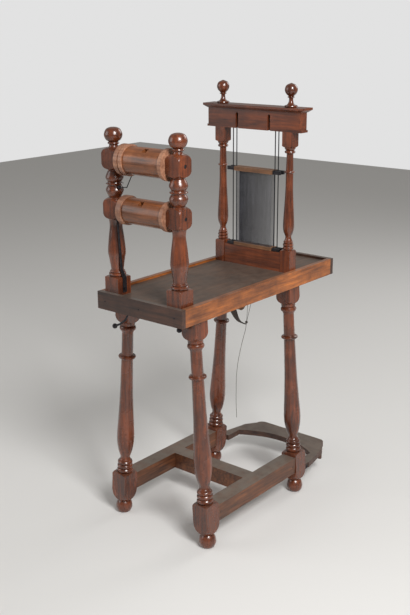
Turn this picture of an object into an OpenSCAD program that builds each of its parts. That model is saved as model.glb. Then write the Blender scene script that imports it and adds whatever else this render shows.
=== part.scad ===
// Small ribbon loom: a tray on four splayed turned legs, two warp rollers between turned posts,
// and a columned frame that guides two heddle shafts on iron rods.
// X runs across the loom, Y runs from the rollers to the heddles, Z is up and the floor is z = 0.
// All places are worked out from the middle of the tray; place() then centres the whole loom in Y.

/* [Tray] */
// Width of the tray over its side boards
tray_w = 293; // [270:1:330]
// Length of the tray over its end boards
tray_l = 684; // [640:1:760]
// Height of the tray's rim above the floor
tray_top = 680; // [640:1:740]
// Height of the boards around the tray
board_h = 47; // [42:1:60]
// Thickness of the boards around the tray
board_t = 13.5; // [10:0.5:15]
// Depth of the tray floor below the rim
floor_drop = 7; // [5:1:10]
// Thickness of the tray floor
floor_t = 12; // [8:1:16]
// Width of the two battens under the tray floor
batten_w = 60; // [52:1:80]

/* [Legs and base] */
// Outward slant of the legs, in degrees
leg_splay = 3.75; // [2.5:0.25:5]
// Distance of the roller-end legs from the middle of the tray
leg_roller_y = 260; // [240:1:270]
// Distance of the heddle-end legs from the middle of the tray
leg_heddle_y = 153; // [140:1:170]
// Width of the square block at the top of a leg
leg_block_w = 48; // [44:1:52]
// Height of the square block at the top of a leg
leg_block_h = 53; // [45:1:65]
// Inset of the leg block from the tray's side
leg_inset = 7; // [3:1:12]
// Width of the square foot block
foot_block_w = 50; // [44:1:54]
// Height of the square foot block
foot_block_h = 88; // [80:1:100]
// Height of the bun foot
bun_h = 40; // [30:1:46]
// Largest radius of the bun foot
bun_r = 23.5; // [20:0.5:24.5]
// Height of the three rings above the foot block
leg_rings_h = 36; // [28:1:44]
// Radius of the three rings above the foot block
leg_rings_r = 22.5; // [19:0.5:24.5]
// Radius of the neck above the rings
leg_neck_r = 13.5; // [11:0.5:16]
// Largest radius of the leg's swelling
leg_swell_r = 24.5; // [20:0.5:26]
// Radius of the slim upper shaft of the leg
leg_shaft_r = 16; // [13:0.5:18]
// Radius of the thin ring on the upper shaft
leg_ring_r = 24; // [20:0.5:27]
// Height of the thin ring
leg_ring_h = 11; // [8:1:14]
// Distance from the tray's underside down to the thin ring
leg_ring_drop = 153; // [120:1:180]
// Radius of the collar under the leg's top block
leg_collar_r = 22.5; // [19:0.5:23.5]
// Height of the stretchers
stretcher_h = 48; // [40:1:56]
// Width of the stretchers
stretcher_w = 46; // [36:1:48]
// Height of the stretchers' underside above the floor
stretcher_z = 70; // [60:1:76]
// Middle of the middle stretcher, measured from the middle of the tray
middle_stretcher_y = -45; // [-80:1:0]

/* [Roller posts] */
// Width of the post's square base block
post_base_w = 47; // [40:1:50]
// Height of the post's square base block
post_base_h = 48; // [40:1:58]
// Height of the turned shaft between the base block and the lower roller's block
post_shaft_h = 150.5; // [140:0.5:180]
// Width of the blocks that carry the rollers
post_block_w = 45; // [42:1:47]
// Height of the blocks that carry the rollers
post_block_h = 55; // [50:1:62]
// Height of the double bulb between the two roller blocks
post_waist_h = 72; // [68:1:90]
// Largest radius of the post's shaft
post_swell_r = 23.3; // [19:0.1:23.5]
// Radius of the slim part of the post's shaft
post_slim_r = 16.7; // [13:0.1:18]
// Largest radius of the bulbs and of the ball on top
post_ball_r = 23.3; // [19:0.1:23.4]
// Gap between the post's base block and the tray's side board
post_side_gap = 2; // [1:0.5:4]
// Gap between the post's base block and the tray's end board
post_end_gap = 1; // [0.5:0.5:4]

/* [Rollers] */
// Radius of the upper barrel
upper_barrel_r = 35.6; // [30:0.1:38]
// Radius of the lower barrel
lower_barrel_r = 33.5; // [30:0.1:37]
// Height by which a flange stands above its barrel
flange_rise = 4.2; // [2:0.1:6]
// Thickness of the right-hand flanges
flange_t = 10.5; // [6:0.5:14]
// Thickness of the upper roller's double left-hand flange
upper_flange_t = 26; // [20:1:30]
// Thickness of the lower roller's left-hand flange
lower_flange_t = 16; // [10:1:24]
// Radius of the iron axles
axle_r = 5; // [4:0.5:7]
// Length of the axle's nub outside the left post
axle_nub = 11; // [6:1:16]
// Radius of the ratchet wheels over their teeth
ratchet_r = 18; // [15:0.5:19]
// Thickness of the ratchet wheels
ratchet_t = 8; // [5:0.5:9]
// Number of ratchet teeth
ratchet_teeth = 20; // [12:1:28]
// Side of the square mortise in a barrel
mortise_w = 14; // [8:1:18]
// Depth of the square mortise in a barrel
mortise_d = 12; // [5:1:14]

/* [Heddle frame] */
// Middle of the heddle frame, measured from the middle of the tray
heddle_y = 150; // [130:1:170]
// Width of the square block at the foot of a column
column_base_w = 32; // [28:1:36]
// Height of the square block at the foot of a column
column_base_h = 64.5; // [60:0.5:76]
// Height of the turned part of a column
column_turned_h = 286.5; // [270:0.5:330]
// Width of the square cap of a column
column_cap_w = 32; // [28:1:32]
// Height of the square cap of a column
column_cap_h = 42; // [34:1:52]
// Largest radius of the column's swelling
column_swell_r = 15.5; // [13:0.1:16]
// Radius of the slim upper part of a column
column_slim_r = 9.2; // [8:0.1:12]
// Height of the sill board between the columns
sill_h = 55; // [48:1:58]
// Thickness of the sill board
sill_t = 28; // [26:1:32]
// Length of the header beam
header_l = 316; // [300:1:340]
// Height of the header beam
header_h = 53; // [48:1:64]
// Thickness of the header beam
header_t = 32; // [30:1:40]
// Overhang of the cornice beyond the header's ends
cornice_end = 12; // [6:1:16]
// Overhang of the cornice beyond the header's faces
cornice_front = 10; // [5:1:14]
// Thickness of the cornice
cornice_h = 12.5; // [9:0.5:16]
// Height of the finial above the cornice
finial_h = 64; // [58:1:76]
// Radius of the finial's ball
finial_ball_r = 17.5; // [14:0.5:19]

/* [Heddle shafts] */
// Distance of the guide rods from the loom's middle plane
rod_x = 73; // [70:0.5:76]
// Distance of a shaft's rods from the middle of the heddle frame, in Y
rod_y = 8; // [7.5:0.1:9]
// Radius of the guide rods
rod_r = 1.5; // [1.2:0.1:1.8]
// Thickness of a shaft's bars, in Y
bar_t = 10; // [8:0.5:12]
// Height of the upper bars
bar_h = 12; // [9:0.5:15]
// Height of the lower bars
low_bar_h = 9; // [7:0.5:12]
// Length of the wooden part of a bar
bar_l = 134; // [128:1:138]
// Length of a bar with its iron ends
bar_full_l = 184; // [170:1:190]
// Length of the heddles between the two bars
heddle_l = 208; // [190:1:225]
// Number of heddles on a shaft
heddle_count = 46; // [30:1:56]
// Radius of a heddle
heddle_r = 0.6; // [0.4:0.1:0.8]
// Distance of the balance pulleys from the loom's middle plane
slot_x = 55; // [48:1:62]
// Width of the slots in the header
slot_w = 9; // [8:0.5:12]
// Height of the slots in the header
slot_h = 44; // [34:1:47]
// Radius of the balance pulleys
pulley_r = 8; // [6:0.5:9]

/* [Under the tray] */
// Radius of the pulley under the tray
tray_pulley_r = 20; // [15:0.5:24]
// Middle of the pulley under the tray, measured from the middle of the tray
tray_pulley_y = 84; // [80:1:90]
// Distance of that pulley's axle below the tray's underside
tray_pulley_drop = 59; // [50:1:70]
// Width of the leather strap
strap_w = 23; // [16:1:28]
// Thickness of the leather strap
strap_t = 3; // [2:0.5:4]

/* [Treadle] */
// Distance from the middle of the tray to the treadle's far edge
treadle_far_y = 366; // [350:1:390]
// Thickness of the treadle board
treadle_t = 17; // [14:1:20]
// Height of the treadle's top above the floor
treadle_z = 75; // [72:1:84]
// Half width of the treadle at its pivots
treadle_near_w = 171; // [168:1:176]
// Half width of the treadle at its far edge
treadle_far_w = 127; // [115:1:140]
// Half width of the opening between the treadle's arms
treadle_gap_w = 138; // [130:1:140]
// Distance from the middle of the tray to the opening's corners
treadle_gap_y = 262; // [250:1:275]
// Rise of the arched edge in its middle
treadle_arch = 44; // [20:1:50]
// Thickness of the iron plates and cheeks of the treadle's pivots
iron_t = 3; // [2:0.5:4]
// Radius of the treadle's pivot pins
pin_r = 3; // [2:0.5:4]

/* [Clearances] */
// Radial clearance of a turning shaft in its hole
running = 0.05; // [0.02:0.01:0.1]
// Radial clearance of a glued or screwed peg in its hole
glued = 0.05; // [0:0.01:0.1]
// Clearance beside and above moving pieces
side_gap = 0.5; // [0.3:0.1:1]

/* [Hidden] */

wood = [0.36, 0.16, 0.08];
dark_wood = [0.24, 0.11, 0.07];
pale_wood = [0.50, 0.30, 0.16];
iron = [0.12, 0.12, 0.14];
thread = [0.42, 0.43, 0.48];
leather = [0.16, 0.10, 0.07];

// Heights and half widths of the tray
tray_under = tray_top - board_h;
floor_top = tray_top - floor_drop;
floor_under = floor_top - floor_t;
inner_x = tray_w / 2 - board_t;
inner_y = tray_l / 2 - board_t;

// The whole loom is moved in Y so that its box is centred
centre_y = (treadle_far_y - tray_l / 2) / 2;

// The leg's axis goes from the tray's underside to the floor
leg_x = tray_w / 2 - leg_inset - leg_block_w / 2;
foot_x = leg_x + tray_under * tan(leg_splay);
leg_len = tray_under / cos(leg_splay);
foot_top = bun_h + foot_block_h;
stretcher_x = foot_x - (stretcher_z + stretcher_h / 2) * tan(leg_splay);
leg_tenon_r = 11;
leg_tenon_l = 20;

// Places and heights of the roller posts
post_x = inner_x - post_side_gap - post_base_w / 2;
post_y = -(inner_y - post_end_gap - post_base_w / 2);
post_face = post_x - post_block_w / 2;
low_block = floor_top + post_base_h + post_shaft_h;
high_block = low_block + post_block_h + post_waist_h;
low_axis = low_block + post_block_h / 2;
high_axis = high_block + post_block_h / 2;
post_tenon_r = 12;
ratchet_x = -post_face + 3.2;
flange_x = ratchet_x + ratchet_t + 1.5;
barrel_end = post_face - side_gap - flange_t;
axle_left = -(post_x + post_block_w / 2 + axle_nub);
axle_right = post_x + post_block_w / 2 - 0.6;
upper_mortise = [17, 60];
lower_mortise = [2, 51];

// The spring pawl stands on the post's base block and leans on the lower ratchet
pawl_x = -(post_x - post_base_w / 2);
pawl_t = 2;
pawl_screw = [post_y, floor_top + 17];
pawl_tip = [post_y - ratchet_r - 0.4, low_axis + 6];
pawl_screw_r = 1.6;

// The wire pawl hangs on a pin in the post's lower bulb, below the upper ratchet
wire_r = 1.2;
wire_x = pawl_x + 2.2;
wire_pin = [post_y - 9, high_axis - 70];
wire_reach = 51;

// Places and heights of the heddle frame
column_x = inner_x - 0.3 - column_base_w / 2;
column_top = floor_top + column_base_h + column_turned_h + column_cap_h;
header_top = column_top + header_h;
cornice_top = header_top + cornice_h;
sill_top = floor_top + sill_h;
rod_sunk = 14;
pulley_z = column_top + slot_h - slot_w / 2 - pulley_r;
pulley_pin_r = 1.5;
bead_h = 6;
bead_out = 4;

// Heights of the heddle shafts, at rest on the sill
low_bar_z = sill_top + side_gap;
heddle_z = low_bar_z + low_bar_h;
high_bar_z = heddle_z + heddle_l;
heddle_span = 124;

// Pulley, strap and cords under the tray, in the plane x = 0
tray_pulley_z = tray_under - tray_pulley_drop;
tray_pulley_w = 10;
strap_route = [[34, 661], [34, 633], [39, 600], [50, 560], [74, 524], [107, 505]];
knot_at = [0, 113, 509];
knot_r = 4;
thread_r = 0.6;
front_thread = [[0, 125, 633], [0, 119, 570], [0, 114, 512]];
rear_thread = [[0, 163, 633], [0, 138, 570], [0, 114.5, 512]];
cord_r = 0.7;
cord_route = [[0, 112.5, 505.2], [0, 109, 488], [0, 98, 464], [0, 84, 430], [0, 72, 390],
    [0, 66, 350], [0, 65, 310], [0, 65, 270], [0, 68, 222]];

// Ball-ended iron hooks under the tray floor
hook_r = 3;
hook_ball_r = 7;
hook_left = [[-75, 658.4], [-75, 618], [-84, 603], [-105, 587], [-124.5, 578]];
hook_right = [[95, 658.4], [95, 628], [103.5, 613]];

// The treadle turns on pins in iron cheeks behind the feet
foot_back = leg_heddle_y + foot_block_w / 2;
treadle_pin_y = foot_back + iron_t + side_gap + treadle_t / 2;
treadle_pin_z = treadle_z - treadle_t / 2;
tongue_in = treadle_gap_w + 8;
tongue_out = treadle_near_w - 2;

// Smooth curve through a few points, n steps between neighbours
function spline(a, b, c, d, t) =
    0.5 * (2 * b + (c - a) * t + (2 * a - 5 * b + 4 * c - d) * t * t + (3 * b - a - 3 * c + d) * t * t * t);
function curve(p, n = 5) = let (m = len(p) - 1)
    [for (i = [0 : m - 1]) for (k = [0 : n - 1])
        spline(p[max(i - 1, 0)], p[i], p[i + 1], p[min(i + 2, m)], k / n), p[m]];

// Half-round moulding from z to z + h, standing out from radius a to radius b
function bead(z, h, a, b, n = 6) =
    [for (k = [0 : n]) [a + (b - a) * sin(180 * k / n), z + h / 2 - h / 2 * cos(180 * k / n)]];

module place() {
    translate([0, -centre_y, 0]) children();
}

// Solid of revolution about Z from [radius, height] points
module turned(p) {
    rotate_extrude($fn = 64) polygon(concat([[0, p[0][1]]], p, [[0, p[len(p) - 1][1]]]));
}

// Square block whose corners are turned away at its bottom, its top or both
module block(w, z, h, low = 0, high = 0) {
    r = w * 0.72;
    end = w * 0.42;
    intersection() {
        translate([-w / 2, -w / 2, z]) cube([w, w, h]);
        turned(concat(
            low > 0 ? curve([[end, z], [r - (r - end) * 0.3, z + low * 0.4], [r, z + low]], 4)
                : [[r, z]],
            high > 0 ? curve([[r, z + h - high], [r - (r - end) * 0.3, z + h - high * 0.4],
                [end, z + h]], 4) : [[r, z + h]]));
    }
}

// Round bar between two points of a plane x = const, given as [y, z]
module bar_yz(x, a, b, r) {
    d = b - a;
    translate([x, a[0], a[1]]) rotate([-atan2(d[0], d[1]), 0, 0]) cylinder(r = r, h = norm(d), $fn = 24);
}

module x_cylinder(x0, x1, y, z, r) {
    translate([x0, y, z]) rotate([0, 90, 0]) cylinder(r = r, h = x1 - x0, $fn = 48);
}

module box(x0, x1, y0, y1, z0, z1) {
    translate([x0, y0, z0]) cube([x1 - x0, y1 - y0, z1 - z0]);
}

// Plain tube swept along points that lie in the plane x = 0
module cord(route, r) {
    p = curve(route, 4);
    last = len(p) - 1;
    sides = 8;
    ring = [for (i = [0 : last]) let (d = p[min(i + 1, last)] - p[max(i - 1, 0)], t = d / norm(d),
        n = cross([1, 0, 0], t)) for (k = [0 : sides - 1])
        p[i] + r * (cos(360 * k / sides) * [1, 0, 0] + sin(360 * k / sides) * n)];
    polyhedron(
        points = ring,
        faces = concat(
            [[for (k = [0 : sides - 1]) sides - 1 - k]],
            [[for (k = [0 : sides - 1]) last * sides + k]],
            [for (i = [0 : last - 1]) for (k = [0 : sides - 1])
                [i * sides + k, i * sides + (k + 1) % sides,
                 (i + 1) * sides + (k + 1) % sides, (i + 1) * sides + k]]));
}

// Turned leg along +Z from the floor to the tray's underside
module leg_turning() {
    block_z = leg_len - leg_block_h;
    ring_z = leg_len - leg_ring_drop;
    rings = leg_rings_h / 3;
    turned(concat(
        curve([[10, -4], [19, 3], [bun_r - 1, 11], [bun_r, 19], [bun_r - 2.5, 30], [14.5, bun_h]], 4),
        [[14.5, bun_h + 6]]));
    block(foot_block_w, bun_h, foot_block_h, 36, 6);
    turned(concat(
        [[18, foot_top - 1]],
        bead(foot_top + 1, rings, 18, leg_rings_r),
        bead(foot_top + 2 + rings, rings - 1, 18, leg_rings_r - 0.8),
        bead(foot_top + 2 + 2 * rings, rings - 2, 17, leg_rings_r - 1.5),
        curve([[16, foot_top + leg_rings_h + 3], [leg_neck_r, foot_top + leg_rings_h + 12],
            [leg_swell_r - 4.5, foot_top + leg_rings_h + 34],
            [leg_swell_r, foot_top + leg_rings_h + 72],
            [leg_swell_r - 3, foot_top + leg_rings_h + 134],
            [leg_swell_r - 6, foot_top + leg_rings_h + 195],
            [leg_shaft_r + 1.2, ring_z - 70], [leg_shaft_r, ring_z - leg_ring_h / 2]]),
        bead(ring_z - leg_ring_h / 2 + 0.2, leg_ring_h - 0.4, leg_shaft_r + 1, leg_ring_r),
        [[leg_shaft_r, ring_z + leg_ring_h / 2], [leg_shaft_r - 0.5, block_z - 30]],
        bead(block_z - 23, 13, leg_shaft_r + 2, leg_collar_r),
        [[leg_shaft_r + 3, block_z - 8]],
        curve([[leg_shaft_r + 4, block_z - 7], [leg_block_w * 0.42, block_z - 2],
            [leg_block_w * 0.42, block_z + 1]], 3)));
    block(leg_block_w, block_z, leg_block_h + 4, 20, 0);
}

// side is -1 for the left legs and 1 for the right legs
module leg_axis(side, y) {
    translate([side * foot_x, y, 0]) rotate([0, -side * leg_splay, 0]) children();
}

module leg(side, y) {
    color(wood) place() union() {
        intersection() {
            leg_axis(side, y) leg_turning();
            box(-tray_w, tray_w, -tray_l, tray_l, 0, tray_under);
        }
        leg_axis(side, y) translate([0, 0, leg_len - 6])
            cylinder(r = leg_tenon_r, h = leg_tenon_l + 6, $fn = 48);
    }
}

module side_stretcher(side) {
    color(wood) place()
        box(side * stretcher_x - stretcher_w / 2, side * stretcher_x + stretcher_w / 2,
            -leg_roller_y + foot_block_w / 2, leg_heddle_y - foot_block_w / 2,
            stretcher_z, stretcher_z + stretcher_h);
}

module middle_stretcher() {
    color(dark_wood) place()
        box(-stretcher_x + stretcher_w / 2, stretcher_x - stretcher_w / 2,
            middle_stretcher_y - stretcher_w / 2, middle_stretcher_y + stretcher_w / 2,
            stretcher_z, stretcher_z + stretcher_h);
}

module tray_floor() {
    color(dark_wood) place() difference() {
        box(-inner_x, inner_x, -inner_y, inner_y, floor_under, floor_top);
        for (side = [-1, 1]) {
            translate([side * post_x, post_y, floor_under - 1])
                cylinder(r = post_tenon_r + glued, h = floor_t + 2, $fn = 48);
        }
    }
}

module tray_side(side) {
    x = side * (tray_w - board_t) / 2;
    color(wood) place() box(x - board_t / 2, x + board_t / 2, -inner_y, inner_y, tray_under, tray_top);
}

module tray_end(side) {
    y = side * (tray_l - board_t) / 2;
    color(dark_wood) place()
        box(-tray_w / 2, tray_w / 2, y - board_t / 2, y + board_t / 2, tray_under, tray_top);
}

// Batten under the floor with slanted holes for the tenons of two legs
module batten(y) {
    color(dark_wood) place() difference() {
        box(-inner_x, inner_x, y - batten_w / 2, y + batten_w / 2, tray_under, floor_under);
        for (side = [-1, 1]) {
            leg_axis(side, y) translate([0, 0, leg_len - 10])
                cylinder(r = leg_tenon_r + glued, h = leg_tenon_l + 11, $fn = 48);
        }
    }
}

// Turned roller post from the tray floor up, with its tenon through the floor
module post_turning() {
    base = floor_top + post_base_h;
    waist = low_block + post_block_h;
    bulb = post_waist_h / 2;
    neck = high_block + post_block_h;
    block(post_base_w, floor_top, post_base_h, 0, 3);
    translate([0, 0, floor_under]) cylinder(r = post_tenon_r, h = floor_t + 4, $fn = 48);
    turned(concat(
        [[18, base - 1]],
        bead(base + 1, 9, 18, post_swell_r - 0.6),
        bead(base + 10.5, 4.5, 17, 20),
        curve([[17, base + 16], [16.8, base + 21], [20.8, base + 48], [post_swell_r, base + 64],
            [20.5, base + 99], [post_slim_r, base + 129], [post_slim_r + 0.5, low_block - 8],
            [post_block_w * 0.42, low_block + 1]])));
    block(post_block_w, low_block, post_block_h, 16, 16);
    turned(concat(
        [[15, waist - 2], [15, waist + 2]],
        curve([[17, waist + 4], [post_ball_r, waist + bulb * 0.55], [17.5, waist + bulb - 4]], 7),
        bead(waist + bulb - 2.5, 5, 18, post_ball_r - 0.4, 4),
        curve([[17.5, waist + bulb + 4], [post_ball_r, waist + bulb * 1.45],
            [17, waist + post_waist_h - 4]], 7),
        [[15.5, waist + post_waist_h - 2], [15.5, waist + post_waist_h + 2]]));
    block(post_block_w, high_block, post_block_h, 16, 16);
    turned(concat(
        [[16, neck - 2], [12, neck + 2], [11, neck + 6]],
        bead(neck + 8, 6, 11.5, 15, 4),
        curve([[12, neck + 14.5], [post_ball_r - 4, neck + 20], [post_ball_r, neck + 32],
            [post_ball_r - 5, neck + 45], [9, neck + 50], [0.5, neck + 50.5]], 6)));
}

module roller_post(side) {
    color(wood) place() difference() {
        translate([side * post_x, post_y, 0]) post_turning();
        for (z = [low_axis, high_axis]) {
            x_cylinder(side * post_x - 40, side * post_x + 40, post_y, z, axle_r + running);
        }
        if (side < 0) {
            x_cylinder(pawl_x - 12, pawl_x + 1, pawl_screw[0], pawl_screw[1], pawl_screw_r + glued);
            x_cylinder(pawl_x - 16, pawl_x + 1, wire_pin[0], wire_pin[1], pawl_screw_r + glued);
        }
    }
}

module barrel(x0, z, r, mortise) {
    color(pale_wood) place() difference() {
        x_cylinder(x0, barrel_end, post_y, z, r);
        x_cylinder(x0 - 1, barrel_end + 1, post_y, z, axle_r + glued);
        translate([mortise[0], post_y, z]) rotate([90 - mortise[1], 0, 0])
            translate([-mortise_w / 2, -mortise_w / 2, r - mortise_d]) cube([mortise_w, mortise_w, 30]);
    }
}

module flange(x0, t, z, r, groove = false) {
    color(pale_wood) place() difference() {
        x_cylinder(x0, x0 + t, post_y, z, r);
        x_cylinder(x0 - 1, x0 + t + 1, post_y, z, axle_r + glued);
        if (groove) {
            difference() {
                x_cylinder(x0 + t / 2 - 1, x0 + t / 2 + 3, post_y, z, r + 2);
                x_cylinder(x0 + t / 2 - 2, x0 + t / 2 + 4, post_y, z, r - 6);
            }
        }
    }
}

// Saw-toothed wheel with a hub towards the post and towards the flange
module ratchet(z) {
    step = 360 / ratchet_teeth;
    color(iron) place() difference() {
        union() {
            translate([ratchet_x, post_y, z]) rotate([90, 0, 90]) linear_extrude(ratchet_t)
                polygon([for (i = [0 : ratchet_teeth - 1]) for (k = [0, 1])
                    (ratchet_r - 2.5 * k) * [cos(step * (i + 0.12 * k)), sin(step * (i + 0.12 * k))]]);
            x_cylinder(-post_face + side_gap, flange_x, post_y, z, axle_r + 4);
        }
        x_cylinder(-post_face, flange_x + 1, post_y, z, axle_r + glued);
    }
}

module axle(z) {
    color(iron) place() x_cylinder(axle_left, axle_right, post_y, z, axle_r);
}

// Flat iron strip: a wide foot on the post's base block, a blade, and a tip beside the ratchet
module spring_pawl() {
    foot_top_z = floor_top + post_base_h + 22;
    color(iron) place() difference() {
        union() {
            translate([pawl_x, 0, 0]) rotate([90, 0, 90]) linear_extrude(pawl_t) polygon([
                [pawl_screw[0] - 7, floor_top + 7], [pawl_screw[0] + 7, floor_top + 7],
                [pawl_screw[0] + 7, floor_top + post_base_h - 4], [pawl_screw[0] - 6, foot_top_z],
                [pawl_tip[0], pawl_tip[1]], [pawl_tip[0] - 5, pawl_tip[1]],
                [pawl_screw[0] - 13, foot_top_z], [pawl_screw[0] - 7, floor_top + post_base_h - 4]]);
            box(pawl_x, ratchet_x + ratchet_t - 1, pawl_tip[0] - 5, pawl_tip[0] - 2.5,
                pawl_tip[1] - 8, pawl_tip[1]);
            hull() {
                box(ratchet_x + 1, ratchet_x + ratchet_t - 1, pawl_tip[0] - 5, pawl_tip[0] - 2.5,
                    pawl_tip[1] - 5, pawl_tip[1]);
                box(ratchet_x + 1, ratchet_x + ratchet_t - 1, pawl_tip[0] - 1, pawl_tip[0],
                    pawl_tip[1] - 2, pawl_tip[1]);
            }
        }
        x_cylinder(pawl_x - 1, pawl_x + pawl_t + 1, pawl_screw[0], pawl_screw[1],
            pawl_screw_r + running);
    }
}

// Bent wire with an eye on its pin; its tip turns up towards the upper ratchet
module wire_pawl() {
    bend = wire_pin + [26, -4];
    tip = wire_pin + wire_reach * [cos(28), sin(28)];
    color(iron) place() {
        difference() {
            x_cylinder(wire_x - wire_r - 0.3, wire_x + wire_r + 0.3, wire_pin[0], wire_pin[1], pawl_screw_r + 2.4);
            x_cylinder(wire_x - 3, wire_x + 3, wire_pin[0], wire_pin[1], pawl_screw_r + running);
        }
        bar_yz(wire_x, wire_pin + [2.8, -0.4], bend, wire_r);
        translate([wire_x, bend[0], bend[1]]) sphere(r = wire_r + 0.3, $fn = 24);
        bar_yz(wire_x, bend, tip, wire_r);
    }
}

// Screw of the spring pawl and pin of the wire pawl, both with flat heads
module pawl_screws() {
    color(iron) place() {
        x_cylinder(pawl_x - 12, pawl_x + pawl_t + side_gap, pawl_screw[0], pawl_screw[1], pawl_screw_r);
        x_cylinder(pawl_x + pawl_t + side_gap, pawl_x + pawl_t + 2.5, pawl_screw[0], pawl_screw[1], 4);
        x_cylinder(pawl_x - 16, wire_x + wire_r + side_gap, wire_pin[0], wire_pin[1], pawl_screw_r);
        x_cylinder(wire_x + wire_r + side_gap, wire_x + wire_r + 2, wire_pin[0], wire_pin[1], 3);
    }
}

// Board between the column blocks, drilled for the guide rods
module heddle_sill() {
    half = column_x - column_base_w / 2;
    color(wood) place() difference() {
        box(-half, half, heddle_y - sill_t / 2, heddle_y + sill_t / 2, floor_top, sill_top);
        rod_places() translate([0, 0, sill_top - rod_sunk])
            cylinder(r = rod_r + glued, h = rod_sunk + 1, $fn = 24);
    }
}

module rod_places() {
    for (x = [-rod_x, rod_x]) {
        for (y = [-rod_y, rod_y]) {
            translate([x, heddle_y + y, 0]) children();
        }
    }
}

module column(side) {
    base = floor_top + column_base_h;
    cap = column_top - column_cap_h;
    ring = cap - 67;
    color(wood) place() translate([side * column_x, heddle_y, 0]) {
        block(column_base_w, floor_top, column_base_h, 0, 4);
        turned(concat(
            [[12, base - 1]],
            bead(base + 1, 9, 12, 15),
            bead(base + 10.5, 8, 12, 15),
            bead(base + 19, 7, 11, 13.5),
            curve([[10.5, base + 28], [8.5, base + 38], [column_swell_r - 1.2, base + 54],
                [column_swell_r, base + 76], [column_swell_r - 2.6, base + 126],
                [column_slim_r + 1.4, ring - 45], [column_slim_r + 1.2, ring - 4]]),
            bead(ring - 3, 6, column_slim_r + 1.6, 14.6, 4),
            [[column_slim_r + 1.2, ring + 3.5], [column_slim_r, cap - 22]],
            [[column_slim_r, cap - 17]],
            bead(cap - 16.5, 8, 10.5, 15, 4),
            curve([[11.5, cap - 8], [14.8, cap - 3], [15.2, cap + 1]], 3)));
        block(column_cap_w, cap, column_cap_h, 5, 0);
    }
}

// Header beam with two slots for the balance pulleys
module header_beam() {
    color(wood) place() difference() {
        box(-header_l / 2, header_l / 2, heddle_y - header_t / 2, heddle_y + header_t / 2,
            column_top, header_top);
        for (x = [-slot_x, slot_x]) {
            box(x - slot_w / 2, x + slot_w / 2, heddle_y - header_t, heddle_y + header_t,
                column_top - 1, column_top + slot_h - slot_w / 2);
            translate([x, heddle_y + header_t, column_top + slot_h - slot_w / 2]) rotate([90, 0, 0])
                cylinder(r = slot_w / 2, h = 2 * header_t, $fn = 32);
            x_cylinder(x - slot_w / 2 - 8, x + slot_w / 2 + 8, heddle_y, pulley_z,
                pulley_pin_r + glued);
        }
        rod_places() translate([0, 0, column_top - 1])
            cylinder(r = rod_r + glued, h = rod_sunk + 1, $fn = 24);
    }
}

// Small mouldings along the lower edges of the header's ends
module header_beads() {
    color(wood) place() for (side = [-1, 1]) {
        translate([side * header_l / 2, heddle_y - header_t / 2, column_top])
            box(side < 0 ? -bead_out : 0, side < 0 ? 0 : bead_out, 0, header_t, 0, bead_h);
    }
}

module header_cornice() {
    x = header_l / 2 + cornice_end;
    y = header_t / 2 + cornice_front;
    slab = cornice_h * 0.45;
    color(wood) place() {
        hull() {
            box(-header_l / 2 - 2, header_l / 2 + 2, heddle_y - header_t / 2 - 1.5,
                heddle_y + header_t / 2 + 1.5, header_top, header_top + 0.5);
            box(-x, x, heddle_y - y, heddle_y + y, cornice_top - slab, cornice_top);
        }
    }
}

module finial(side) {
    color(wood) place() translate([side * column_x, heddle_y, cornice_top]) turned(concat(
        [[17, 0]],
        bead(0.3, 5, 16, 18, 4),
        [[12.5, 6]],
        curve([[9.8, 8], [7.4, 12], [5.8, 18], [5.8, finial_h - 2 * finial_ball_r - 5]], 4),
        bead(finial_h - 2 * finial_ball_r - 4, 4, 6.5, 10, 4),
        curve([[7.5, finial_h - 2 * finial_ball_r + 0.6],
            [finial_ball_r * 0.82, finial_h - finial_ball_r * 1.57],
            [finial_ball_r, finial_h - finial_ball_r],
            [finial_ball_r * 0.75, finial_h - finial_ball_r * 0.34], [0.5, finial_h]], 7)));
}

module guide_rods() {
    color(iron) place() rod_places() translate([0, 0, sill_top - rod_sunk])
        cylinder(r = rod_r, h = column_top - sill_top + 2 * rod_sunk - 1, $fn = 24);
}

module header_pulley(side) {
    color(pale_wood) place() translate([side * slot_x, heddle_y, pulley_z]) rotate([0, 90, 0])
        difference() {
            rotate_extrude($fn = 48) polygon([[0, -3], [pulley_r, -3], [pulley_r - 1.6, 0],
                [pulley_r, 3], [0, 3]]);
            translate([0, 0, -4]) cylinder(r = pulley_pin_r + running, h = 8, $fn = 32);
        }
}

module header_pulley_pins() {
    color(iron) place() for (x = [-slot_x, slot_x]) {
        x_cylinder(x - slot_w / 2 - 7, x + slot_w / 2 + 7, heddle_y, pulley_z, pulley_pin_r);
    }
}

// Wooden bar of a heddle shaft; side is -1 for the front shaft and 1 for the rear one
module bar(side, z, h) {
    y = heddle_y + side * rod_y;
    color(pale_wood) place() box(-bar_l / 2, bar_l / 2, y - bar_t / 2, y + bar_t / 2, z, z + h);
}

// Iron ends of both bars of a shaft, each with an eye around its guide rod
module bar_ends(side) {
    y = heddle_y + side * rod_y;
    t = bar_t - 2;
    color(iron) place() difference() {
        union() {
            for (x = [-1, 1]) {
                for (level = [[low_bar_z, low_bar_h], [high_bar_z, bar_h]]) {
                    near = min(x * bar_l / 2, x * bar_full_l / 2);
                    far = max(x * bar_l / 2, x * bar_full_l / 2);
                    box(near, far, y - t / 2, y + t / 2, level[0] + 1, level[0] + level[1] - 1);
                }
            }
        }
        for (x = [-rod_x, rod_x]) {
            translate([x, y, low_bar_z - 1]) cylinder(r = rod_r + 0.3, h = high_bar_z, $fn = 32);
        }
    }
}

// Row of straight heddles between the two bars of a shaft, each with a small flat eye
module heddles(side) {
    y = heddle_y + side * rod_y;
    pitch = heddle_span / (heddle_count - 1);
    color(thread) place() for (i = [0 : heddle_count - 1]) {
        translate([-heddle_span / 2 + i * pitch, y, heddle_z])
            cylinder(r = heddle_r, h = heddle_l, $fn = 16);
    }
}

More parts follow.
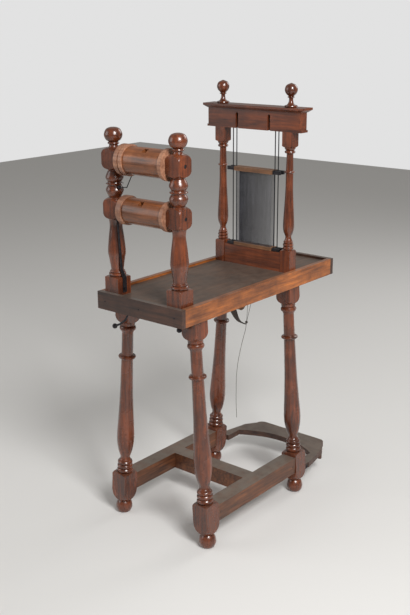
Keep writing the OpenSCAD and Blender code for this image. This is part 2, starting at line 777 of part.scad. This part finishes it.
module tray_pulley() {
    color(pale_wood) place() translate([0, tray_pulley_y, tray_pulley_z]) rotate([0, 90, 0])
        difference() {
            rotate_extrude($fn = 64) polygon(concat([[0, -tray_pulley_w / 2]],
                [[tray_pulley_r, -tray_pulley_w / 2]],
                [for (a = [-75 : 25 : 75]) [tray_pulley_r - 3.5 * cos(a), 3.8 * sin(a)]],
                [[tray_pulley_r, tray_pulley_w / 2], [0, tray_pulley_w / 2]]));
            translate([0, 0, -tray_pulley_w]) cylinder(r = pin_r + running, h = 2 * tray_pulley_w, $fn = 32);
        }
}

// Iron fork from the tray floor down to the pulley, with its pin
module tray_pulley_bracket() {
    cheek = tray_pulley_w / 2 + side_gap;
    color(iron) place() {
        for (side = [-1, 1]) {
            x = side * (cheek + iron_t / 2);
            box(x - iron_t / 2, x + iron_t / 2, tray_pulley_y - 8, tray_pulley_y + 8,
                tray_pulley_z - 8, floor_under);
        }
        box(-cheek - iron_t, cheek + iron_t, tray_pulley_y - 8, tray_pulley_y + 8,
            floor_under - iron_t, floor_under);
        x_cylinder(-cheek - iron_t - 2, cheek + iron_t + 2, tray_pulley_y, tray_pulley_z, pin_r);
    }
}

module hook_bead(r) {
    sphere(r = r, $fn = 12);
}

// Ball-ended iron hooks that hang from the tray floor behind the end board
module iron_hooks() {
    color(iron) place() for (route = [hook_left, hook_right]) {
        last = len(route) - 1;
        for (i = [0 : last - 1]) {
            hull() {
                translate([route[i][0], post_y, route[i][1]]) hook_bead(i == 0 ? hook_r * 0.9 : hook_r);
                translate([route[i + 1][0], post_y, route[i + 1][1]]) hook_bead(hook_r);
            }
        }
        translate([route[last][0], post_y, route[last][1]]) hull() sphere(r = hook_ball_r, $fn = 24);
    }
}

// Leather strap: a curved band in side view, tapered in front view
module strap() {
    p = curve(strap_route, 5);
    last = len(p) - 1;
    n = [for (i = [0 : last]) let (d = p[min(i + 1, last)] - p[max(i - 1, 0)]) [-d[1], d[0]] / norm(d)];
    tip = strap_route[len(strap_route) - 1];
    color(leather) place() intersection() {
        translate([-strap_w / 2, 0, 0]) rotate([90, 0, 90]) linear_extrude(strap_w) polygon(concat(
            [for (i = [0 : last]) p[i] + n[i] * strap_t / 2],
            [for (i = [last : -1 : 0]) p[i] - n[i] * strap_t / 2]));
        translate([0, 200, 0]) rotate([90, 0, 0]) linear_extrude(400) polygon([
            [-3, tip[1] - 5], [3, tip[1] - 5], [strap_w / 2, tip[1] + 50], [strap_w / 2, floor_under],
            [-strap_w / 2, floor_under], [-strap_w / 2, tip[1] + 50]]);
    }
}

module harness_threads() {
    color(thread) place() {
        cord(front_thread, thread_r);
        cord(rear_thread, thread_r);
    }
}

module harness_knot() {
    color(thread) place() translate(knot_at) sphere(r = knot_r, $fn = 24);
}

module free_cord() {
    color(thread) place() cord(cord_route, cord_r);
}

// U-shaped foot board: two arms that end in rounded tongues, and an arched inner edge
module treadle_board() {
    shoulder = treadle_pin_y + treadle_t / 2 + 6;
    arch = [for (k = [0 : 12]) let (x = treadle_gap_w * (1 - k / 6))
        [x, treadle_gap_y + treadle_arch * (1 - pow(x / treadle_gap_w, 2))]];
    corner = [for (a = [0 : 15 : 90]) [cos(a), sin(a)]];
    color(dark_wood) place() difference() {
        union() {
            translate([0, 0, treadle_z - treadle_t]) linear_extrude(treadle_t) polygon(concat(
                [[treadle_near_w, shoulder], [treadle_near_w - 20, treadle_far_y - 56]],
                [for (c = corner) [treadle_far_w - 20, treadle_far_y - 20] + 20 * c],
                [for (k = [0 : 6]) let (c = corner[6 - k])
                    [-treadle_far_w + 20, treadle_far_y - 20] + 20 * [-c[0], c[1]]],
                [[20 - treadle_near_w, treadle_far_y - 56], [-treadle_near_w, shoulder]],
                [[-treadle_gap_w, shoulder]],
                [for (k = [0 : 12]) arch[12 - k]],
                [[treadle_gap_w, shoulder]]));
            for (side = [-1, 1]) {
                a = min(side * tongue_in, side * tongue_out);
                b = max(side * tongue_in, side * tongue_out);
                box(a, b, treadle_pin_y, shoulder + 1, treadle_z - treadle_t, treadle_z);
                x_cylinder(a, b, treadle_pin_y, treadle_pin_z, treadle_t / 2);
                translate([side * (treadle_near_w - 22), treadle_far_y - 66, treadle_z - treadle_t - 12])
                    cylinder(r = 6, h = 13, $fn = 32);
            }
        }
        for (side = [-1, 1]) {
            x_cylinder(side * treadle_near_w - 60, side * treadle_near_w + 60, treadle_pin_y,
                treadle_pin_z, pin_r + running);
        }
    }
}

// Iron plates on the backs of the feet, with a screw knob, two cheeks and a pin each
module treadle_brackets() {
    knob_x = (tongue_in + tongue_out) / 2 + 8;
    color(iron) place() for (side = [-1, 1]) {
        a = min(side * (tongue_in - side_gap - iron_t), side * (tongue_out + side_gap + iron_t));
        b = max(side * (tongue_in - side_gap - iron_t), side * (tongue_out + side_gap + iron_t));
        union() {
            box(a, b, foot_back, foot_back + iron_t, treadle_pin_z - 8, foot_top - 4);
            for (x = [a, b - iron_t]) {
                box(x, x + iron_t, foot_back, treadle_pin_y, treadle_pin_z - 6, treadle_pin_z + 6);
                x_cylinder(x, x + iron_t, treadle_pin_y, treadle_pin_z, 6);
            }
            x_cylinder(a - 1.5, b + 1.5, treadle_pin_y, treadle_pin_z, pin_r);
            translate([side * knob_x, foot_back, foot_top - 12]) rotate([-90, 0, 0])
                cylinder(r = 5.5, h = iron_t + 6, $fn = 32);
        }
    }
}

leg(-1, -leg_roller_y);  // leg_roller_left
leg(1, -leg_roller_y);  // leg_roller_right
leg(-1, leg_heddle_y);  // leg_heddle_left
leg(1, leg_heddle_y);  // leg_heddle_right
side_stretcher(-1);  // side_stretcher_left
side_stretcher(1);  // side_stretcher_right
middle_stretcher();
tray_floor();
tray_side(-1);  // tray_side_left
tray_side(1);  // tray_side_right
tray_end(-1);  // tray_end_roller
tray_end(1);  // tray_end_heddle
batten(-leg_roller_y);  // batten_roller
batten(leg_heddle_y);  // batten_heddle
roller_post(-1);  // roller_post_left
roller_post(1);  // roller_post_right
barrel(flange_x + upper_flange_t, high_axis, upper_barrel_r, upper_mortise);  // upper_barrel
flange(flange_x, upper_flange_t, high_axis, upper_barrel_r + flange_rise, true);  // upper_flange_left
flange(barrel_end, flange_t, high_axis, upper_barrel_r + flange_rise);  // upper_flange_right
ratchet(high_axis);  // upper_ratchet
axle(high_axis);  // upper_axle
barrel(flange_x + lower_flange_t, low_axis, lower_barrel_r, lower_mortise);  // lower_barrel
flange(flange_x, lower_flange_t, low_axis, lower_barrel_r + flange_rise);  // lower_flange_left
flange(barrel_end, flange_t, low_axis, lower_barrel_r + flange_rise);  // lower_flange_right
ratchet(low_axis);  // lower_ratchet
axle(low_axis);  // lower_axle
spring_pawl();
wire_pawl();
pawl_screws();
heddle_sill();
column(-1);  // column_left
column(1);  // column_right
header_beam();
header_beads();
header_cornice();
finial(-1);  // finial_left
finial(1);  // finial_right
guide_rods();
header_pulley(-1);  // header_pulley_left
header_pulley(1);  // header_pulley_right
header_pulley_pins();
bar(-1, high_bar_z, bar_h);  // front_upper_bar
bar(-1, low_bar_z, low_bar_h);  // front_lower_bar
bar_ends(-1);  // front_bar_ends
heddles(-1);  // front_heddles
bar(1, high_bar_z, bar_h);  // rear_upper_bar
bar(1, low_bar_z, low_bar_h);  // rear_lower_bar
bar_ends(1);  // rear_bar_ends
heddles(1);  // rear_heddles
tray_pulley();
tray_pulley_bracket();
iron_hooks();
strap();
harness_threads();
harness_knot();
free_cord();
treadle_board();
treadle_brackets();
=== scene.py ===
import math

import bpy
from mathutils import Matrix, Vector


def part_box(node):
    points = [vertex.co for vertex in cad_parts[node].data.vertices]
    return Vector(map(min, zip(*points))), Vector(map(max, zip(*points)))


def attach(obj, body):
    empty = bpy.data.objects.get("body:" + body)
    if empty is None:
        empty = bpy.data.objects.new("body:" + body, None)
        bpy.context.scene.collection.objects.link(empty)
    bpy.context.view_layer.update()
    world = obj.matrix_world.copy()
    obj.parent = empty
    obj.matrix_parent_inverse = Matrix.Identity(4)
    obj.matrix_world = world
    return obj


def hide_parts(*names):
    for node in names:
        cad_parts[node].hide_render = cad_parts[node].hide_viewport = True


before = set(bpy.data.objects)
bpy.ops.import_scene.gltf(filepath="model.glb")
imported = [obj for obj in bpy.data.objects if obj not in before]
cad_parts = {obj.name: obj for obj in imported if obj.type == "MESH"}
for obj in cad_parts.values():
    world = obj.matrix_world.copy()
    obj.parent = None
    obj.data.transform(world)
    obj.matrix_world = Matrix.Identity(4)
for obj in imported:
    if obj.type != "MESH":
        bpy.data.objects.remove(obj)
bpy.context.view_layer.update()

# Camera: at the photograph's place, seen from the roller end's right-hand corner.
# Its place and turn come from fitting the loom's own corners to the photograph.
CAMERA_AT = (1.604, -2.026, 1.364)
CAMERA_YAW = math.radians(39.63)
CAMERA_PITCH = math.radians(16.92)
CAMERA_ROLL = math.radians(-0.32)
CAMERA_LENS = 83.7
SENSOR_WIDTH = 36.0


def add_camera():
    forward = Vector((
        -math.sin(CAMERA_YAW) * math.cos(CAMERA_PITCH),
        math.cos(CAMERA_YAW) * math.cos(CAMERA_PITCH),
        -math.sin(CAMERA_PITCH),
    ))
    level = forward.cross(Vector((0, 0, 1))).normalized()
    above = level.cross(forward)
    right = math.cos(CAMERA_ROLL) * level + math.sin(CAMERA_ROLL) * above
    up = -math.sin(CAMERA_ROLL) * level + math.cos(CAMERA_ROLL) * above
    lens = bpy.data.cameras.new("photo_camera")
    lens.sensor_fit = "HORIZONTAL"
    lens.sensor_width = SENSOR_WIDTH
    lens.lens = CAMERA_LENS
    camera = bpy.data.objects.new("photo_camera", lens)
    bpy.context.collection.objects.link(camera)
    turn = Matrix((right, up, -forward)).transposed().to_4x4()
    camera.matrix_world = Matrix.Translation(CAMERA_AT) @ turn
    bpy.context.scene.camera = camera


add_camera()

# Base: four splayed legs turned in polished red-brown mahogany, tied by plain walnut stretchers.
# The stretchers are tenoned into the foot blocks and pegged, and dust lies on their tops.
RED_DARK = (0.035, 0.010, 0.006)
RED_LIGHT = (0.22, 0.052, 0.013)
DEEP_DARK = (0.016, 0.008, 0.006)
DEEP_LIGHT = (0.085, 0.035, 0.020)
GRAIN_SCALE = 9.0
GRAIN_STRETCH = 14.0
GRAIN_DETAIL = 8.0
GRAIN_ROUGH = 0.7
GRAIN_RELIEF = 0.0006
GRAIN_RELIEF_STRENGTH = 0.25
PATCH_SCALE = 11.0
PATCH_DETAIL = 4.0
PATCH_ROUGH = 0.65
PATCH_START = 0.35
PATCH_END = 0.62
PATCH_DARK = (0.42, 0.34, 0.31)
PATCH_LIGHT = (1.3, 1.2, 1.1)
PATCH_STRENGTH = 0.7
POLISH_ROUGHNESS = 0.18
GLOSS_BELOW = 0.08
GLOSS_ABOVE = 0.22
DUST_COLOUR = (0.16, 0.135, 0.11, 1)
DUST_SCALE = 45.0
DUST_SLOPE = 0.75
DUST_THIN = 0.55
DUST_CLOUD_START = 0.3
DUST_CLOUD_END = 0.6
PEG_RADIUS = 0.0035
PEG_LENGTH = 0.006
PEG_PROUD = 0.0008
PEG_RIM = 0.0006
PEG_FROM_END = 0.012
PEG_HEIGHT = 0.094


def new_material(name):
    material = bpy.data.materials.new(name)
    material.use_nodes = True
    nodes = material.node_tree.nodes
    return material, nodes, material.node_tree.links, nodes["Principled BSDF"]


def ramp_between(nodes, links, source, low, high, start=0.3, end=0.7):
    ramp = nodes.new("ShaderNodeValToRGB")
    ramp.color_ramp.elements[0].position = start
    ramp.color_ramp.elements[0].color = (*low, 1)
    ramp.color_ramp.elements[1].position = end
    ramp.color_ramp.elements[1].color = (*high, 1)
    links.new(source, ramp.inputs["Fac"])
    return ramp.outputs["Color"]


def noise(nodes, links, coordinates, scale, detail=6.0, rough=0.6):
    texture = nodes.new("ShaderNodeTexNoise")
    texture.inputs["Scale"].default_value = scale
    texture.inputs["Detail"].default_value = detail
    texture.inputs["Roughness"].default_value = rough
    links.new(coordinates, texture.inputs["Vector"])
    return texture.outputs["Fac"]


def add_relief(nodes, links, shader, height, strength, distance):
    bump = nodes.new("ShaderNodeBump")
    bump.inputs["Strength"].default_value = strength
    bump.inputs["Distance"].default_value = distance
    links.new(height, bump.inputs["Height"])
    links.new(bump.outputs["Normal"], shader.inputs["Normal"])


def add_dust(nodes, links, place, colour, amount):
    """Grey dust, in clouds, over whatever faces up."""
    facing = nodes.new("ShaderNodeSeparateXYZ")
    links.new(nodes.new("ShaderNodeNewGeometry").outputs["Normal"], facing.inputs[0])
    top = nodes.new("ShaderNodeMapRange")
    top.inputs["From Min"].default_value = DUST_SLOPE
    top.inputs["To Max"].default_value = amount
    links.new(facing.outputs["Z"], top.inputs["Value"])
    cloud = nodes.new("ShaderNodeMapRange")
    cloud.inputs["From Min"].default_value = DUST_CLOUD_START
    cloud.inputs["From Max"].default_value = DUST_CLOUD_END
    cloud.inputs["To Min"].default_value = DUST_THIN
    links.new(noise(nodes, links, place, DUST_SCALE), cloud.inputs["Value"])
    cover = nodes.new("ShaderNodeMath")
    cover.operation = "MULTIPLY"
    links.new(top.outputs["Result"], cover.inputs[0])
    links.new(cloud.outputs["Result"], cover.inputs[1])
    mix = nodes.new("ShaderNodeMix")
    mix.data_type = "RGBA"
    links.new(cover.outputs["Value"], mix.inputs[0])
    links.new(colour, mix.inputs["A"])
    mix.inputs["B"].default_value = DUST_COLOUR
    return mix.outputs["Result"]


def streaked(name, dark, light, grain, rough, coat, dust=0.0):
    """A finish with streaks along one axis, worn patches, some polish and some dust."""
    material, nodes, links, shader = new_material(name)
    place = nodes.new("ShaderNodeTexCoord").outputs["Object"]
    stretch = nodes.new("ShaderNodeMapping")
    stretch.inputs["Scale"].default_value = [1 if axis == grain else GRAIN_STRETCH for axis in "XYZ"]
    links.new(place, stretch.inputs["Vector"])
    streaks = noise(nodes, links, stretch.outputs["Vector"], GRAIN_SCALE, GRAIN_DETAIL, GRAIN_ROUGH)
    patches = noise(nodes, links, place, PATCH_SCALE, PATCH_DETAIL, PATCH_ROUGH)
    worn = nodes.new("ShaderNodeMix")
    worn.data_type = "RGBA"
    worn.blend_type = "MULTIPLY"
    worn.inputs[0].default_value = PATCH_STRENGTH
    links.new(ramp_between(nodes, links, streaks, dark, light), worn.inputs["A"])
    wear = ramp_between(nodes, links, patches, PATCH_DARK, PATCH_LIGHT, PATCH_START, PATCH_END)
    links.new(wear, worn.inputs["B"])
    colour = worn.outputs["Result"]
    if dust:
        colour = add_dust(nodes, links, place, colour, dust)
    links.new(colour, shader.inputs["Base Color"])
    gloss = nodes.new("ShaderNodeMapRange")
    gloss.inputs["To Min"].default_value = rough - GLOSS_BELOW
    gloss.inputs["To Max"].default_value = rough + GLOSS_ABOVE
    links.new(patches, gloss.inputs["Value"])
    links.new(gloss.outputs["Result"], shader.inputs["Roughness"])
    shader.inputs["Coat Weight"].default_value = coat
    shader.inputs["Coat Roughness"].default_value = POLISH_ROUGHNESS
    add_relief(nodes, links, shader, streaks, GRAIN_RELIEF_STRENGTH, GRAIN_RELIEF)
    return material


def finish(material, *node_names):
    for node_name in node_names:
        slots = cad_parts[node_name].data.materials
        slots.clear()
        slots.append(material)


def add_peg(name, place, outward, material, radius):
    """A round pin that stands a hair proud of the face it is driven into."""
    bpy.ops.object.select_all(action="DESELECT")
    bpy.ops.mesh.primitive_cylinder_add(vertices=20, radius=radius, depth=PEG_LENGTH, location=place,
                                        rotation=Vector(outward).to_track_quat("Z", "Y").to_euler())
    peg = bpy.context.object
    peg.name = name
    bpy.ops.object.transform_apply(location=True, rotation=True, scale=True)
    rim = peg.modifiers.new("rim", "BEVEL")
    rim.width = PEG_RIM
    rim.segments = 2
    bpy.ops.object.modifier_apply(modifier="rim")
    peg.data.materials.append(material)
    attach(peg, "loom_frame")


turned_wood = streaked("turned_mahogany", RED_DARK, RED_LIGHT, grain="Z", rough=0.2, coat=0.6, dust=0.15)
base_wood = streaked("stretcher_walnut", DEEP_DARK, (0.22, 0.08, 0.03), grain="Y", rough=0.4, coat=0.2,
                     dust=0.9)
end_wood = streaked("end_board_walnut", DEEP_DARK, DEEP_LIGHT, grain="X", rough=0.35, coat=0.3, dust=0.5)
finish(turned_wood, "leg_roller_left", "leg_roller_right", "leg_heddle_left", "leg_heddle_right")
finish(base_wood, "side_stretcher_left", "side_stretcher_right", "middle_stretcher")

peg_depth = PEG_LENGTH / 2 - PEG_PROUD
stretcher_low, stretcher_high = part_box("side_stretcher_right")
for end, peg_y in (("near", stretcher_low[1] + PEG_FROM_END), ("far", stretcher_high[1] - PEG_FROM_END)):
    for side, sign in (("left", -1), ("right", 1)):
        peg_at = (sign * (stretcher_high[0] - peg_depth), peg_y, PEG_HEIGHT)
        add_peg(f"stretcher_peg_{end}_{side}", peg_at, (sign, 0, 0), end_wood, PEG_RADIUS)

# Tray: a walnut floor board let in between orange-brown mahogany sides and very dark walnut ends.
# Three nails hold the end board at the roller end, and two dark battens run under the floor.
NAIL_RADIUS = 0.002
NAIL_SPACING = 0.120
NAIL_HEIGHT = 0.656
SPOT_RELIEF = 0.0004
SPOT_RELIEF_STRENGTH = 0.3


def plain(name, dark, light, scale, rough, metal=0.0):
    """A finish that varies only in small spots, as iron, leather and cord do."""
    material, nodes, links, shader = new_material(name)
    place = nodes.new("ShaderNodeTexCoord").outputs["Object"]
    spots = noise(nodes, links, place, scale)
    links.new(ramp_between(nodes, links, spots, dark, light), shader.inputs["Base Color"])
    shader.inputs["Roughness"].default_value = rough
    shader.inputs["Metallic"].default_value = metal
    add_relief(nodes, links, shader, spots, SPOT_RELIEF_STRENGTH, SPOT_RELIEF)
    return material


side_wood = streaked("side_mahogany", (0.11, 0.032, 0.010), (0.50, 0.165, 0.035), grain="Y", rough=0.3,
                     coat=0.3, dust=0.3)
floor_wood = streaked("tray_floor_walnut", (0.028, 0.015, 0.010), (0.115, 0.060, 0.036), grain="Y",
                      rough=0.5, coat=0.1, dust=0.35)
iron = plain("forged_iron", (0.010, 0.010, 0.014), (0.055, 0.050, 0.055), scale=160.0, rough=0.42, metal=0.7)
finish(side_wood, "tray_side_left", "tray_side_right")
finish(end_wood, "tray_end_roller", "tray_end_heddle", "batten_roller", "batten_heddle")
finish(floor_wood, "tray_floor")

end_low, end_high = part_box("tray_end_roller")
for number, nail_x in enumerate((-NAIL_SPACING, 0.0, NAIL_SPACING)):
    nail_at = (nail_x, end_low[1] + peg_depth, NAIL_HEIGHT)
    add_peg(f"end_board_nail_{number}", nail_at, (0, -1, 0), iron, NAIL_RADIUS)

# Roller end: two turned mahogany posts carry two walnut barrels between pale flanges, whose pale colour is
# partly painted highlight for their lit rims.
# The ratchet wheels, axles and pawls are forged iron, and the pawls are held by a screw and a pin.
barrel_wood = streaked("barrel_walnut", (0.06, 0.020, 0.009), (0.30, 0.105, 0.035), grain="X", rough=0.28,
                       coat=0.35)
# Flange colour: pale wood, lightened further as a painted highlight standing in for the light lines on the
# lit rims.
pale_flange_with_highlight = streaked("flange_pale_wood_painted_highlight", (0.20, 0.085, 0.05), (0.46, 0.25, 0.16), grain="X", rough=0.4,
                       coat=0.1)
finish(turned_wood, "roller_post_left", "roller_post_right")
for roller in ("upper", "lower"):
    finish(barrel_wood, f"{roller}_barrel")
    finish(pale_flange_with_highlight, f"{roller}_flange_left", f"{roller}_flange_right")
    finish(iron, f"{roller}_ratchet", f"{roller}_axle")
finish(iron, "spring_pawl", "wire_pawl", "pawl_screws")

# Heddle end: a sill board and two slim turned columns under a slotted header with a cornice and finials.
# Boards and turnings are mahogany. Iron rods join sill and header, and a small wooden pulley turns
# on a pin in each slot.
header_wood = streaked("header_mahogany", (0.035, 0.009, 0.005), (0.21, 0.052, 0.014), grain="X", rough=0.3,
                       coat=0.3, dust=0.15)
bar_wood = streaked("bar_beech", (0.10, 0.045, 0.02), (0.30, 0.15, 0.07), grain="X", rough=0.5, coat=0.05,
                    dust=0.3)
finish(header_wood, "heddle_sill", "header_beam", "header_beads", "header_cornice")
finish(turned_wood, "column_left", "column_right", "finial_left", "finial_right")
finish(bar_wood, "header_pulley_left", "header_pulley_right")
finish(iron, "guide_rods", "header_pulley_pins")

# Heddle shafts: two beech frames with iron ends that slide on the rods, the rear one just behind the front.
# Each carries a row of dark waxed heddles, which read as upright streaks.
heddle_thread = streaked("waxed_heddles", (0.008, 0.009, 0.014), (0.085, 0.090, 0.112), grain="Z",
                         rough=0.5, coat=0.0)
for shaft in ("front", "rear"):
    finish(bar_wood, f"{shaft}_upper_bar", f"{shaft}_lower_bar")
    finish(iron, f"{shaft}_bar_ends")
    finish(heddle_thread, f"{shaft}_heddles")

# Under the tray: a wooden pulley in an iron fork, a curled leather strap and two ball-ended iron hooks.
# Two harness threads come down to a knot at the strap's tip.
leather = plain("old_leather", (0.014, 0.009, 0.007), (0.055, 0.035, 0.025), scale=130.0, rough=0.55)
cord_thread = plain("old_cord", (0.05, 0.04, 0.035), (0.14, 0.12, 0.10), scale=500.0, rough=0.9)
finish(bar_wood, "tray_pulley")
finish(iron, "tray_pulley_bracket", "iron_hooks")
finish(leather, "strap")
finish(cord_thread, "harness_threads", "harness_knot")

# Free cord: a thin old cord that hangs from the knot and ends loose above the floor.
# Its points are those of the solid cord, in metres.
CORD_RADIUS = 0.0007
CORD_ROUTE = [
    (0, 0.1005, 0.5052), (0, 0.097, 0.488), (0, 0.086, 0.464), (0, 0.072, 0.430), (0, 0.060, 0.390),
    (0, 0.054, 0.350), (0, 0.053, 0.310), (0, 0.053, 0.270), (0, 0.056, 0.222),
]


def smooth_route(points, steps=4):
    """Curve through the points, with a few more between each two."""
    points = [Vector(p) for p in points]
    last = len(points) - 1
    route = []
    for i in range(last):
        a, b, c, d = points[max(i - 1, 0)], points[i], points[i + 1], points[min(i + 2, last)]
        for k in range(steps):
            t = k / steps
            route.append(0.5 * (2 * b + (c - a) * t + (2 * a - 5 * b + 4 * c - d) * t ** 2
                                + (3 * b - a - 3 * c + d) * t ** 3))
    return route + [points[last]]


def add_line(name, points, radius, material):
    line = bpy.data.curves.new(name, "CURVE")
    line.dimensions = "3D"
    line.bevel_depth = radius
    line.bevel_resolution = 3
    line.use_fill_caps = True
    spline = line.splines.new("POLY")
    spline.points.add(len(points) - 1)
    for point, place in zip(spline.points, points):
        point.co = (*place, 1)
    line.materials.append(material)
    piece = bpy.data.objects.new(name, line)
    bpy.context.collection.objects.link(piece)
    return piece


cord_path = smooth_route(CORD_ROUTE)
free_cord = add_line("hanging_cord", cord_path, CORD_RADIUS, cord_thread)
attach(free_cord, "loom_frame")
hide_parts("free_cord")

# Treadle: one U-shaped walnut foot board, dull and dusty, behind the feet of the heddle end.
# It tilts on pins in two iron brackets.
treadle_wood = streaked("treadle_walnut", (0.03, 0.018, 0.016), (0.12, 0.06, 0.04), grain="X", rough=0.5,
                        coat=0.1, dust=0.7)
finish(treadle_wood, "treadle_board")
finish(iron, "treadle_brackets")

# Stage: a pale floor and soft studio light from the right and above.
# The world reads white to the camera without adding light to the loom.
FLOOR_SIZE = 12.0
FLOOR_COLOUR = (0.74, 0.73, 0.71, 1)
FLOOR_ROUGHNESS = 0.85
LIGHT_TARGET = (0, 0, 0.6)
AIR_COLOUR = (1, 0.98, 0.95, 1)
AIR_STRENGTH = 0.3
WHITE_STRENGTH = 0.95


def add_floor():
    bpy.ops.object.select_all(action="DESELECT")
    bpy.ops.mesh.primitive_plane_add(size=FLOOR_SIZE, location=(0, 0, 0))
    floor = bpy.context.object
    floor.name = "studio_floor"
    material = new_material("pale_floor")[0]
    shader = material.node_tree.nodes["Principled BSDF"]
    shader.inputs["Base Color"].default_value = FLOOR_COLOUR
    shader.inputs["Roughness"].default_value = FLOOR_ROUGHNESS
    floor.data.materials.append(material)


def add_light(name, place, size, power):
    lamp = bpy.data.lights.new(name, "AREA")
    lamp.shape = "SQUARE"
    lamp.size = size
    lamp.energy = power
    light = bpy.data.objects.new(name, lamp)
    light.location = place
    light.rotation_euler = (Vector(LIGHT_TARGET) - Vector(place)).to_track_quat("-Z", "Y").to_euler()
    bpy.context.collection.objects.link(light)


def add_air():
    world = bpy.data.worlds.new("studio")
    bpy.context.scene.world = world
    world.use_nodes = True
    nodes = world.node_tree.nodes
    links = world.node_tree.links
    air = nodes["Background"]
    air.inputs["Color"].default_value = AIR_COLOUR
    air.inputs["Strength"].default_value = AIR_STRENGTH
    white = nodes.new("ShaderNodeBackground")
    white.inputs["Strength"].default_value = WHITE_STRENGTH
    choose = nodes.new("ShaderNodeMixShader")
    links.new(nodes.new("ShaderNodeLightPath").outputs["Is Camera Ray"], choose.inputs[0])
    links.new(air.outputs[0], choose.inputs[1])
    links.new(white.outputs[0], choose.inputs[2])
    links.new(choose.outputs[0], nodes["World Output"].inputs["Surface"])


add_floor()
add_light("key_window", (2.2, -1.2, 2.6), size=1.0, power=95)
add_light("fill_window", (-2.4, -2.4, 1.8), size=2.0, power=22)
add_light("back_window", (0.5, 2.8, 2.4), size=1.6, power=25)
add_air()
bpy.context.scene.view_settings.view_transform = "Standard"
